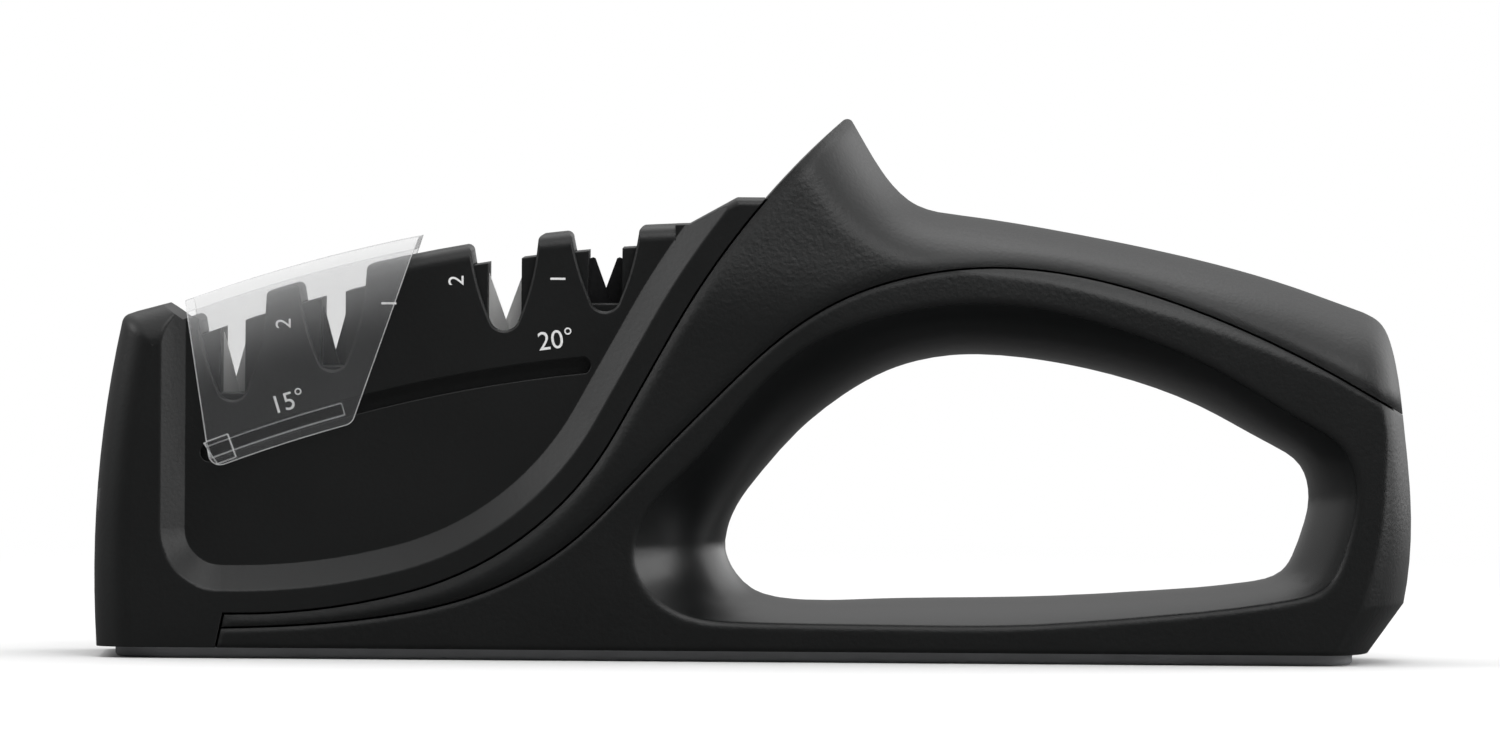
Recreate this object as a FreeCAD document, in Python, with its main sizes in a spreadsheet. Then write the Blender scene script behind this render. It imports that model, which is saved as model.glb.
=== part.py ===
import FreeCAD, Part
import math
import os
import Sketcher
from FreeCAD import Placement, Rotation, Vector

# Pull-through knife sharpener with a hand guard, in millimetres.
# X runs from the nose to the handle, Y across, Z up from the table. The origin is under the middle of the part.
# A clear cover slides over the head along an arc whose centre lies far below the table.

# Driving dimensions. Angles are in degrees, measured from the vertical where nothing else is said.
DIMENSIONS = {
    # Overall
    "body_length": 215.4,
    "body_width": 44.0,
    "body_height": 88.0,
    "foot_height": 1.8,
    "wall": 3.0,
    "seam_gap": 0.35,
    "seam_fit": 0.08,
    "seam_depth": 2.5,
    "fit_gap": 0.15,
    # Arc that the cover slides along
    "path_center_x": -3.0,
    "path_center_drop": 189.0,
    "saddle_radius": 260.3,
    "saddle_left_angle": 20.3,
    "saddle_right_angle": 1.75,
    "slot_radius": 238.5,
    "slot_width": 2.75,
    "slot_end_radius": 1.5,
    "cover_travel": 9.5,
    # Head casing
    "nose_foot_x": -107.2,
    "nose_brow_x": -103.1,
    "nose_brow_height": 55.7,
    "nose_peak_x": -96.6,
    "nose_peak_height": 57.45,
    "nose_front_radius": 190.0,
    "nose_brow_round": 1.8,
    "nose_corner_round": 6.0,
    "crest_round": 0.8,
    "crest_side_round": 1.2,
    "head_heel_x": -87.7,
    "head_heel_lean": 1.2,
    "crest_left_x": -3.2,
    "crest_angle": 49.4,
    "saddle_edge_round": 2.5,
    "saddle_round_left_angle": 20.15,
    "saddle_round_right_angle": 2.25,
    "band_edge_round": 0.8,
    # Recessed panel on each side of the head and the sweep that bounds it
    "panel_left_x": -92.8,
    "panel_bottom": 15.1,
    "panel_corner": 6.0,
    "panel_depth": 3.0,
    "panel_wall": 2.2,
    "band_width": 4.05,
    "flank_width": 3.55,
    "sweep_start_x": -84.6,
    "sweep_low_radius": 101.0,
    "sweep_low_angle": 15.1,
    "sweep_high_radius": 47.0,
    "flank_angle": 60.9,
    "flank_straight_top": 57.4,
    "guard_radius": 140.0,
    # Knife notches in the head
    "notch_width": 10.9,
    "notch_height": 16.0,
    "notch_over": 8.0,
    "notch_root_width": 4.8,
    "notch_root_height": 1.9,
    "notch_root_radius": 2.47,
    "notch_side_radius": 43.0,
    "notch_brink_round": 1.1,
    "notch_chamfer": 0.35,
    # Knife stations: place along the head, edge apex height, notch bottom height
    "asian_fine_x": -85.2,
    "asian_fine_apex": 45.6,
    "asian_fine_notch": 42.0,
    "asian_coarse_x": -68.9,
    "asian_coarse_apex": 50.1,
    "asian_coarse_notch": 47.0,
    "standard_fine_x": -41.0,
    "standard_fine_apex": 55.3,
    "standard_fine_notch": 53.7,
    "standard_coarse_x": -24.6,
    "standard_coarse_apex": 60.6,
    "standard_coarse_notch": 56.9,
    "asian_angle": 15.0,
    "standard_angle": 20.0,
    "asian_gap": 4.0,
    "standard_gap": 5.5,
    # Cartridge that clamps the plates
    "cartridge_top_drop": 3.4,
    "cartridge_bottom_radius": 230.0,
    "cartridge_left_angle": 20.2,
    "cartridge_heel_angle": 22.8,
    "cartridge_right_angle": 2.2,
    "cartridge_toe_angle": 5.8,
    "land_angle": 11.8,
    "land_half_angle": 1.1,
    "land_depth": 6.6,
    "gap_below_apex": 2.5,
    # Sharpening plates
    "plate_width": 5.0,
    "plate_thickness": 2.4,
    "plate_below_apex": 4.0,
    "plate_top_drop": 1.3,
    "plate_gap": 0.05,
    "plate_bevel": 0.3,
    # Slide cover
    "cover_wall": 2.0,
    "cover_side_gap": 0.3,
    "cover_top_gap": 0.8,
    "cover_edge_round": 3.4,
    "cover_inner_round": 1.6,
    "cover_bottom_radius": 235.8,
    "cover_top_left_angle": 20.0,
    "cover_bottom_left_angle": 21.3,
    "cover_top_right_angle": 11.4,
    "cover_bottom_right_angle": 15.4,
    "cover_foot_round": 2.0,
    "rib_width": 2.0,
    "rib_reach": 1.8,
    "rib_left_angle": 21.1,
    "rib_right_angle": 15.6,
    "slot_end_gap": 0.15,
    "cover_pad_width": 4.2,
    "cover_pad_height": 4.0,
    "cover_pad_edge": 0.5,
    "cover_pad_lift": 0.35,
    # Rubber pad
    "pad_front_x": -104.3,
    "pad_back_x": 97.9,
    "pad_inset": 2.5,
    "pad_corner": 9.0,
    "pad_edge_round": 0.7,
    # Screws
    "screw_diameter": 3.0,
    "screw_head_diameter": 5.6,
    "screw_head_height": 1.9,
    "screw_length": 12.0,
    "screw_post_diameter": 8.0,
    "cartridge_screw_length": 24.0,
    "head_screw_x": -52.0,
    "head_screw_wall_gap": 3.3,
    "head_screw_length": 18.0,
    "grip_screw_x": -23.0,
    # Handle
    "crown_power": 2.2,
    "rim_power": 2.0,
    "guard_end_angle": 30.0,
    "guard_tip_round": 1.0,
    "rim_edge_round": 0.8,
    "frame_channel_x": -38.0,
    "frame_channel_width": 20.0,
    "seam_rib_width": 24.0,
    "seam_rib_height": 0.8,
    "tongue_length": 34.0,
    "tongue_height": 1.6,
}

doc = FreeCAD.newDocument("KnifeSharpener")
dims = doc.addObject("Spreadsheet::Sheet", "dims")
for row, (alias, number) in enumerate(DIMENSIONS.items(), start=1):
    dims.set(f"A{row}", alias.replace("_", " "))
    dims.set(f"B{row}", str(number))
    dims.setAlias(f"B{row}", alias)
doc.recompute()


class Size:
    # A length or an angle worked out from the sheet, with the expression that gives it.
    def __init__(self, value, text):
        self.value = value
        self.text = text

    def __add__(self, other):
        other = as_size(other)
        return Size(self.value + other.value, f"({self.text} + {other.text})")

    def __sub__(self, other):
        other = as_size(other)
        return Size(self.value - other.value, f"({self.text} - {other.text})")

    def __mul__(self, other):
        other = as_size(other)
        return Size(self.value * other.value, f"({self.text} * {other.text})")

    def __truediv__(self, other):
        other = as_size(other)
        return Size(self.value / other.value, f"({self.text} / {other.text})")

    def __neg__(self):
        return Size(-self.value, f"(0 - {self.text})")


def as_size(number):
    if isinstance(number, Size):
        return number
    return Size(float(number), f"({float(number)!r})")


def size(alias):
    return Size(float(dims.get(alias)), f"dims.{alias}")


def sine(angle):
    return Size(math.sin(math.radians(angle.value)), f"sin({angle.text})")


def cosine(angle):
    return Size(math.cos(math.radians(angle.value)), f"cos({angle.text})")


def tangent(angle):
    return Size(math.tan(math.radians(angle.value)), f"tan({angle.text})")


def root(area):
    return Size(math.sqrt(area.value), f"sqrt({area.text})")


def bind(feature, path, amount):
    feature.setExpression(path, as_size(amount).text)


# Shared places

half_width = size("body_width") / 2
panel_half_width = half_width - size("panel_depth")
cavity_half_width = panel_half_width - size("panel_wall")
center_x = size("path_center_x")
center_z = -size("path_center_drop")
seam_offset = size("band_width") + size("flank_width")
cartridge_screw_y = cavity_half_width / 2
head_screw_y = cavity_half_width - size("head_screw_wall_gap")
grip_screw_y = half_width / 2
cartridge_top_radius = size("saddle_radius") - size("cartridge_top_drop")
cavity_radius = cartridge_top_radius + size("fit_gap")

# Two places closer than this count as the same place when edges are picked.
touch = size("fit_gap").value / 100


def on_path(radius, angle):
    # Point at a radius and a lean to the nose side, about the centre of the sliding arc.
    return center_x - radius * sine(angle), center_z + radius * cosine(angle)


def height_on_path(radius, x):
    # Height of the circle of that radius about the sliding centre, over the place x.
    run = x - center_x
    return center_z + root(radius * radius - run * run)


def sweep_points(offset):
    # Ends of the sweep's stretches, on a line that lies offset outside the panel's edge.
    start = (size("sweep_start_x"), size("panel_bottom") - offset)
    low = size("sweep_low_radius") + offset
    high = size("sweep_high_radius") + offset
    low_angle = size("sweep_low_angle")
    flank = size("flank_angle")
    first = (start[0] + low * sine(low_angle), start[1] + low - low * cosine(low_angle))
    second = (
        first[0] + high * (sine(flank) - sine(low_angle)),
        first[1] + high * (cosine(low_angle) - cosine(flank)),
    )
    top = size("flank_straight_top") - offset * cosine(flank)
    third = (second[0] + (top - second[1]) / tangent(flank), top)
    return [start, first, second, third]


def guard_point(offset, angle):
    # Point on the curved front of the hand guard, where its tangent rises at that angle.
    third = sweep_points(offset)[3]
    radius = size("guard_radius") - offset
    flank = size("flank_angle")
    return (
        third[0] + radius * (sine(flank) - sine(angle)),
        third[1] + radius * (cosine(angle) - cosine(flank)),
    )


# Sketch and feature helpers

def new_body(name):
    body = doc.addObject("PartDesign::Body", name)
    body.Label = name
    return body


def new_sketch(body, name, plane="XZ_Plane", lift=None):
    # An XZ sketch faces -Y, so lift moves it towards the near side.
    sketch = body.newObject("Sketcher::SketchObject", name)
    base = [item for item in body.Origin.OriginFeatures if item.Role == plane][0]
    sketch.AttachmentSupport = [(base, "")]
    sketch.MapMode = "FlatFace"
    if lift is not None:
        bind(sketch, "AttachmentOffset.Base.z", lift)
    return sketch


def arc_through(start, end, radius, side):
    # The shorter arc between two points. Side is 1 where the centre lies left of the way, -1 where right.
    chord = end - start
    middle = (start + end) * 0.5
    left = Vector(-chord.y, chord.x, 0).normalize()
    rise = math.sqrt(max(radius * radius - chord.Length ** 2 / 4, 0))
    center = middle + left * (rise * side)
    first, last = (start, end) if side > 0 else (end, start)
    first_angle = math.atan2(first.y - center.y, first.x - center.x)
    last_angle = math.atan2(last.y - center.y, last.x - center.x)
    circle = Part.Circle(center, Vector(0, 0, 1), radius)
    return Part.ArcOfCircle(circle, first_angle, last_angle)


def draw_outline(sketch, points, arcs=None):
    # Closed outline with every corner and radius bound. Arcs maps a stretch's number to (radius, side).
    arcs = arcs or {}
    flat = [Vector(x.value, z.value, 0) for x, z in points]
    count = len(flat)
    base = sketch.GeometryCount
    ends = []
    for stretch in range(count):
        start = flat[stretch]
        end = flat[(stretch + 1) % count]
        if stretch in arcs:
            radius, side = arcs[stretch]
            sketch.addGeometry(arc_through(start, end, radius.value, side), False)
            ends.append((1, 2) if side > 0 else (2, 1))
        else:
            sketch.addGeometry(Part.LineSegment(start, end), False)
            ends.append((1, 2))
    for stretch in range(count):
        following = (stretch + 1) % count
        corner = Sketcher.Constraint(
            "Coincident", base + stretch, ends[stretch][1], base + following, ends[following][0]
        )
        sketch.addConstraint(corner)
    for stretch, (x, z) in enumerate(points):
        for kind, amount in (("DistanceX", x), ("DistanceY", z)):
            rule = Sketcher.Constraint(kind, -1, 1, base + stretch, ends[stretch][0], amount.value)
            index = sketch.addConstraint(rule)
            bind(sketch, f"Constraints[{index}]", amount)
    for stretch, (radius, side) in arcs.items():
        index = sketch.addConstraint(Sketcher.Constraint("Radius", base + stretch, radius.value))
        bind(sketch, f"Constraints[{index}]", radius)


def pad(body, name, sketch, length, symmetric=False, backward=False):
    feature = body.newObject("PartDesign::Pad", name)
    feature.Profile = sketch
    feature.SideType = "Symmetric" if symmetric else "One side"
    feature.Reversed = backward
    bind(feature, "Length", length)
    doc.recompute()
    return feature


def pocket(body, name, sketch, length, symmetric=False, backward=False):
    before = body.Shape.Volume
    feature = body.newObject("PartDesign::Pocket", name)
    feature.Profile = sketch
    feature.SideType = "Symmetric" if symmetric else "One side"
    feature.Reversed = backward
    bind(feature, "Length", length)
    doc.recompute()
    if body.Shape.Volume >= before:
        raise RuntimeError(f"{name} cuts nothing")
    return feature


def lies_on_arc(edge, radius):
    # True where both ends of the edge lie on that circle about the sliding centre.
    gaps = [
        math.hypot(point.X - center_x.value, point.Z - center_z.value) - radius.value
        for point in edge.Vertexes
    ]
    return len(gaps) == 2 and max(abs(gap) for gap in gaps) < touch


def cut_between(body, name, first, last):
    # Removes the straight-sided form between two sketches.
    doc.recompute()
    before = body.Shape.Volume
    feature = body.newObject("PartDesign::SubtractiveLoft", name)
    feature.Profile = first
    feature.Sections = [last]
    feature.Ruled = True
    doc.recompute()
    if body.Shape.Volume >= before:
        raise RuntimeError(f"{name} cuts nothing")
    return feature


def turned_cut(body, name, sketch, angle):
    # Removes what a profile sweeps as it turns towards the nose about its sketch's own level axis.
    before = body.Shape.Volume
    feature = body.newObject("PartDesign::Groove", name)
    feature.Profile = sketch
    feature.ReferenceAxis = (sketch, ["H_Axis"])
    feature.Reversed = True
    bind(feature, "Angle", angle)
    doc.recompute()
    if body.Shape.Volume >= before:
        raise RuntimeError(f"{name} cuts nothing")
    return feature


def edges_where(shape, test):
    return [f"Edge{place}" for place, edge in enumerate(shape.Edges, start=1) if test(edge)]


def round_edges(body, name, test, radius, kind="Fillet"):
    # Fillet or chamfer on the edges of the body's tip that pass the test.
    tip = body.Tip
    feature = body.newObject(f"PartDesign::{kind}", name)
    feature.Base = (tip, edges_where(tip.Shape, test))
    bind(feature, "Radius" if kind == "Fillet" else "Size", radius)
    doc.recompute()
    return feature


def cylinder_cut(body, name, diameter, length, place, lean=None):
    # Round hole from a place upwards, along Z or leaning to the nose with the sliding arc.
    before = body.Shape.Volume
    feature = body.newObject("PartDesign::SubtractiveCylinder", name)
    feature.Placement = Placement(Vector(), Rotation(Vector(0, -1, 0), 1))
    bind(feature, "Radius", diameter / 2)
    bind(feature, "Height", length)
    for letter, amount in zip("xyz", place):
        bind(feature, f"Placement.Base.{letter}", amount)
    bind(feature, "Placement.Rotation.Angle", lean if lean is not None else 0)
    doc.recompute()
    if body.Shape.Volume >= before:
        raise RuntimeError(f"{name} cuts nothing")
    return feature


STATIONS = ["asian_fine", "asian_coarse", "standard_fine", "standard_coarse"]


def station_family(station):
    return station.split("_")[0]


# Head casing

def head_outline(sketch):
    start, first, second, third = sweep_points(seam_offset)
    crest = guard_point(seam_offset, size("crest_angle"))
    heel_top = (size("head_heel_x") + size("head_heel_lean"), start[1])
    points = [
        (size("nose_foot_x"), size("foot_height")),
        (size("head_heel_x"), size("foot_height")),
        heel_top,
        start,
        first,
        second,
        third,
        crest,
        (size("crest_left_x"), crest[1]),
        on_path(size("saddle_radius"), size("saddle_right_angle")),
        on_path(size("saddle_radius"), size("saddle_left_angle")),
        (size("nose_peak_x"), size("nose_peak_height")),
        (size("nose_brow_x"), size("nose_brow_height")),
    ]
    arcs = {
        3: (size("sweep_low_radius") + seam_offset, 1),
        4: (size("sweep_high_radius") + seam_offset, 1),
        6: (size("guard_radius") - seam_offset, -1),
        9: (size("saddle_radius"), 1),
        12: (size("nose_front_radius"), 1),
    }
    draw_outline(sketch, points, arcs)


def panel_outline(sketch, offset):
    # Edge of the side recess, offset outwards; it runs on past the top of the head.
    start, first, second, third = sweep_points(offset)
    tip = guard_point(offset, size("guard_end_angle"))
    left = size("panel_left_x") - offset
    corner = size("panel_corner") + offset
    points = [
        (left, tip[1]),
        (left, start[1] + corner),
        (left + corner, start[1]),
        start,
        first,
        second,
        third,
        tip,
    ]
    arcs = {
        1: (corner, 1),
        3: (size("sweep_low_radius") + offset, 1),
        4: (size("sweep_high_radius") + offset, 1),
        6: (size("guard_radius") - offset, -1),
    }
    draw_outline(sketch, points, arcs)


def notch_outline(sketch, station, grow):
    # U-shaped knife notch with rounded brinks. Its root arc and its sides are grown outwards by the same amount.
    x = size(f"{station}_x")
    bottom = size(f"{station}_notch")
    half = size("notch_width") / 2 + grow
    turn = size("notch_root_width") / 2 / size("notch_root_radius")
    root_half = size("notch_root_width") / 2 + grow * turn
    throat = bottom + size("notch_root_height") - grow * root(as_size(1) - turn * turn)
    top = bottom + size("notch_height") + size("notch_over")
    brink = size("notch_brink_round")
    left = x - half - brink
    right = x + half + brink
    left_rim = height_on_path(size("saddle_radius"), left)
    right_rim = height_on_path(size("saddle_radius"), right)
    points = [
        (left, top),
        (left, left_rim),
        (x - half, left_rim - brink),
        (x - root_half, throat),
        (x + root_half, throat),
        (x + half, right_rim - brink),
        (right, right_rim),
        (right, top),
    ]
    arcs = {
        1: (brink, -1),
        2: (size("notch_side_radius") + grow, 1),
        3: (size("notch_root_radius") + grow, 1),
        4: (size("notch_side_radius") + grow, 1),
        5: (brink, -1),
    }
    draw_outline(sketch, points, arcs)


def cavity_outline(sketch):
    # Hollow of the head, open below, with a cross rib in its roof that the cartridge screws bite into.
    inset = seam_offset - size("wall")
    second = sweep_points(inset)[2]
    land_left = size("land_angle") + size("land_half_angle")
    land_right = size("land_angle") - size("land_half_angle")
    land_radius = cavity_radius - size("land_depth")
    toe_height = height_on_path(cavity_radius, center_x) - size("wall") * 2
    toe = (second[0] + (toe_height - second[1]) / tangent(size("flank_angle")), toe_height)
    brow_height = size("nose_brow_height") - size("wall") * 1.5
    points = [
        (size("nose_foot_x") + size("wall"), as_size(0)),
        (second[0], as_size(0)),
        second,
        toe,
        on_path(cavity_radius, size("cartridge_right_angle")),
        on_path(cavity_radius, land_right),
        on_path(land_radius, land_right),
        on_path(land_radius, land_left),
        on_path(cavity_radius, land_left),
        on_path(cavity_radius, size("saddle_left_angle")),
        (size("nose_brow_x") + size("wall"), brow_height),
    ]
    arcs = {4: (cavity_radius, 1), 6: (land_radius, 1), 8: (cavity_radius, 1)}
    draw_outline(sketch, points, arcs)


def slot_outline(sketch):
    inner = size("slot_radius") - size("slot_width") / 2
    outer = size("slot_radius") + size("slot_width") / 2
    left = size("rib_left_angle") + size("slot_end_gap")
    right = size("rib_right_angle") - size("cover_travel") - size("slot_end_gap")
    end_radius = size("slot_end_radius")
    points = [
        on_path(inner, left),
        on_path(inner, right),
        on_path(outer, right),
        on_path(outer, left),
    ]
    arcs = {0: (inner, -1), 1: (end_radius, 1), 2: (outer, 1), 3: (end_radius, 1)}
    draw_outline(sketch, points, arcs)


def make_head_casing():
    body = new_body("head_casing")
    silhouette = new_sketch(body, "HeadSilhouette")
    head_outline(silhouette)
    pad(body, "HeadBlock", silhouette, half_width * 2, symmetric=True)

    brow = size("nose_brow_height").value
    nose_front = size("nose_brow_x").value
    side = half_width.value

    def on_nose_brow(edge):
        middle = edge.BoundBox.Center
        across = edge.BoundBox.YLength > side
        return across and abs(middle.x - nose_front) < touch and abs(middle.z - brow) < touch

    def on_nose_corner(edge):
        box = edge.BoundBox
        upright = box.ZLength > brow / 2 and box.YLength < touch
        return upright and box.XMax < nose_front + touch and abs(abs(box.Center.y) - side) < touch

    crest_left = size("crest_left_x").value
    crest_height = guard_point(seam_offset, size("crest_angle"))[1].value

    def on_crest(edge):
        middle = edge.BoundBox.Center
        across = edge.BoundBox.YLength > side
        return across and abs(middle.x - crest_left) < touch and abs(middle.z - crest_height) < touch

    round_edges(body, "NoseBrow", on_nose_brow, size("nose_brow_round"))
    round_edges(body, "CrestEdge", on_crest, size("crest_round"))
    round_edges(body, "NoseCorners", on_nose_corner, size("nose_corner_round"))

    slope_foot, slope_height = on_path(size("saddle_radius"), size("saddle_right_angle"))

    def on_crest_side(edge):
        box = edge.BoundBox
        flat = box.YLength < touch and abs(abs(box.Center.y) - side) < touch
        return flat and box.XMin > slope_foot.value - touch and box.ZMin > slope_height.value - touch

    round_edges(body, "CrestSides", on_crest_side, size("crest_side_round"))

    # The recess on each side narrows inwards, which leaves the sloping band round the panel.
    spill = size("panel_wall")
    spread = size("band_width") * (size("panel_depth") + spill) / size("panel_depth")
    for hand, sign in (("Near", 1), ("Far", -1)):
        floor = new_sketch(body, f"Panel{hand}Floor", lift=panel_half_width * sign)
        panel_outline(floor, as_size(0))
        mouth = new_sketch(body, f"Panel{hand}Mouth", lift=(half_width + spill) * sign)
        panel_outline(mouth, spread)
        cut_between(body, f"Panel{hand}", floor, mouth)

    # The top edges of the panels are rounded between the bands, along the sliding arc.
    rim = size("saddle_radius")
    rounding = size("saddle_edge_round")
    right = size("saddle_round_right_angle")
    for hand, sign in (("Near", -1), ("Far", 1)):
        edge = panel_half_width * sign
        top = edge - rounding * sign
        clear = edge + spill * sign
        profile = new_sketch(body, f"SaddleEdge{hand}Profile", plane="YZ_Plane")
        profile.AttachmentOffset = Placement(Vector(), Rotation(Vector(-1, 0, 0), 1))
        bind(profile, "AttachmentOffset.Base.y", center_z)
        bind(profile, "AttachmentOffset.Base.z", center_x)
        bind(profile, "AttachmentOffset.Rotation.Angle", right)
        draw_outline(profile, [
            (top, rim),
            (edge, rim - rounding),
            (clear, rim - rounding),
            (clear, rim + spill),
            (top, rim + spill),
        ], {0: (rounding, -sign)})
        turned_cut(body, f"SaddleEdge{hand}", profile, size("saddle_round_left_angle") - right)

    def on_band_edge(edge):
        box = edge.BoundBox
        on_side = box.YLength < touch and abs(abs(box.Center.y) - side) < touch
        band_left = size("panel_left_x").value - size("band_width").value
        return on_side and abs(box.XMin - band_left) < touch and box.XLength < touch

    round_edges(body, "BandEdges", on_band_edge, size("band_edge_round"))

    hollow = new_sketch(body, "HeadHollow")
    cavity_outline(hollow)
    pocket(body, "Hollow", hollow, cavity_half_width * 2, symmetric=True)

    bevel = size("notch_chamfer")
    for station in STATIONS:
        cut = new_sketch(body, f"Notch_{station}")
        notch_outline(cut, station, as_size(0))
        pocket(body, f"NotchCut_{station}", cut, half_width * 2, symmetric=True)
        for hand, sign in (("Near", 1), ("Far", -1)):
            throat = new_sketch(body, f"Bevel{hand}In_{station}", lift=(panel_half_width - bevel) * sign)
            notch_outline(throat, station, as_size(0))
            mouth = new_sketch(body, f"Bevel{hand}Out_{station}", lift=(panel_half_width + bevel) * sign)
            notch_outline(mouth, station, bevel * 2)
            cut_between(body, f"Bevel{hand}_{station}", throat, mouth)

    slot = new_sketch(body, "GuideSlot")
    slot_outline(slot)
    pocket(body, "GuideSlotCut", slot, half_width * 2, symmetric=True)

    # Posts inside the side walls take the screws that come up through the frame.
    post_foot = sweep_points(seam_offset)[1][1] + size("screw_post_diameter") / 2
    screw_foot = size("foot_height") + size("fit_gap") + size("screw_head_height")
    screw_tip = screw_foot + size("head_screw_length")
    post_length = screw_tip + size("wall") - post_foot
    for hand, sign in (("Near", -1), ("Far", 1)):
        post = body.newObject("PartDesign::AdditiveCylinder", f"HeadPost{hand}")
        bind(post, "Radius", size("screw_post_diameter") / 2)
        bind(post, "Height", post_length)
        place = (size("head_screw_x"), head_screw_y * sign, post_foot)
        for letter, amount in zip("xyz", place):
            bind(post, f"Placement.Base.{letter}", amount)
        doc.recompute()
        bore = size("screw_diameter") + size("fit_gap")
        mouth = (place[0], place[1], size("foot_height"))
        depth = screw_tip + size("fit_gap") - size("foot_height")
        cylinder_cut(body, f"HeadPostBore{hand}", bore, depth, mouth)

    for hand, sign in (("Near", -1), ("Far", 1)):
        depth = size("land_depth")
        foot = on_path(cavity_radius - depth - size("fit_gap"), size("land_angle"))
        place = (foot[0], cartridge_screw_y * sign, foot[1])
        bore = size("screw_diameter") + size("fit_gap")
        cylinder_cut(body, f"LandBore{hand}", bore, depth + size("fit_gap"), place, size("land_angle"))
    return body


# Cartridge and plates

def plate_corners(station, hand, grow):
    # Rectangle whose working edge passes through the apex at the bevel angle. The near plate leans to the nose.
    lean = size(f"{station_family(station)}_angle")
    way = as_size(-1 if hand == "near" else 1)
    x = size(f"{station}_x")
    apex = size(f"{station}_apex")
    top = height_on_path(cartridge_top_radius, x) - size("plate_top_drop")
    high = (top - apex) / cosine(lean) + grow
    low = -size("plate_below_apex") - grow
    back = size("plate_width") + grow

    def corner(along, away):
        return (
            x + way * (along * sine(lean) + away * cosine(lean)),
            apex + along * cosine(lean) - away * sine(lean),
        )

    return [corner(low, -grow), corner(high, -grow), corner(high, back), corner(low, back)]


def cartridge_outline(sketch):
    land_left = size("land_angle") + size("land_half_angle")
    land_right = size("land_angle") - size("land_half_angle")
    land_radius = cartridge_top_radius - size("land_depth")
    bottom = size("cartridge_bottom_radius")
    points = [
        on_path(bottom, size("cartridge_heel_angle")),
        on_path(bottom, size("cartridge_toe_angle")),
        on_path(cartridge_top_radius, size("cartridge_right_angle") + size("slot_end_gap")),
        on_path(cartridge_top_radius, land_right - size("slot_end_gap")),
        on_path(land_radius, land_right - size("slot_end_gap")),
        on_path(land_radius, land_left + size("slot_end_gap")),
        on_path(cartridge_top_radius, land_left + size("slot_end_gap")),
        on_path(cartridge_top_radius, size("cartridge_left_angle")),
    ]
    arcs = {
        0: (bottom, -1),
        2: (cartridge_top_radius, 1),
        4: (land_radius, 1),
        6: (cartridge_top_radius, 1),
    }
    draw_outline(sketch, points, arcs)


def make_cartridge_half(hand):
    body = new_body(f"cartridge_{hand}")
    backward = hand == "far"
    thickness = cavity_half_width - size("fit_gap")
    outline = new_sketch(body, f"Cartridge_{hand}_outline")
    cartridge_outline(outline)
    pad(body, f"Cartridge_{hand}_block", outline, thickness, backward=backward)
    for station in STATIONS:
        x = size(f"{station}_x")
        half_gap = size(f"{station_family(station)}_gap") / 2
        bottom = size(f"{station}_apex") - size("gap_below_apex")
        top = bottom + size("notch_height") + size("notch_over")
        gap = new_sketch(body, f"Gap_{hand}_{station}")
        draw_outline(gap, [
            (x - half_gap, bottom),
            (x + half_gap, bottom),
            (x + half_gap, top),
            (x - half_gap, top),
        ])
        pocket(body, f"GapCut_{hand}_{station}", gap, thickness * 2, symmetric=True)
        seat = new_sketch(body, f"Seat_{hand}_{station}")
        draw_outline(seat, plate_corners(station, hand, size("plate_gap")))
        depth = size("plate_thickness") + size("plate_gap") * 2
        pocket(body, f"SeatCut_{hand}_{station}", seat, depth, backward=not backward)
    sign = -1 if hand == "near" else 1
    across = cartridge_screw_y * sign
    start = size("cartridge_bottom_radius") - size("foot_height")
    foot = on_path(start, size("land_angle"))
    reach = size("land_depth") * 4
    shank = size("screw_diameter") + size("fit_gap") * 2
    head = size("screw_head_diameter") + size("fit_gap") * 4
    place = (foot[0], across, foot[1])
    cylinder_cut(body, f"ScrewHole_{hand}", shank, reach, place, size("land_angle"))
    sunk = size("foot_height") + size("screw_head_height") + size("fit_gap")
    cylinder_cut(body, f"ScrewSeat_{hand}", head, sunk, place, size("land_angle"))
    return body


def make_plate(station, hand):
    body = new_body(f"{station}_{hand}")
    sign = 1 if hand == "near" else -1
    sketch = new_sketch(body, f"Plate_{station}_{hand}", lift=size("plate_gap") * sign)
    draw_outline(sketch, plate_corners(station, hand, as_size(0)))
    pad(body, f"PlateBlock_{station}_{hand}", sketch, size("plate_thickness"), backward=hand == "far")
    thickness = size("plate_thickness").value

    def across(edge):
        return abs(edge.BoundBox.YLength - thickness) < touch

    round_edges(body, f"PlateBevel_{station}_{hand}", across, size("plate_bevel"), kind="Chamfer")
    return body


# Slide cover

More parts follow.
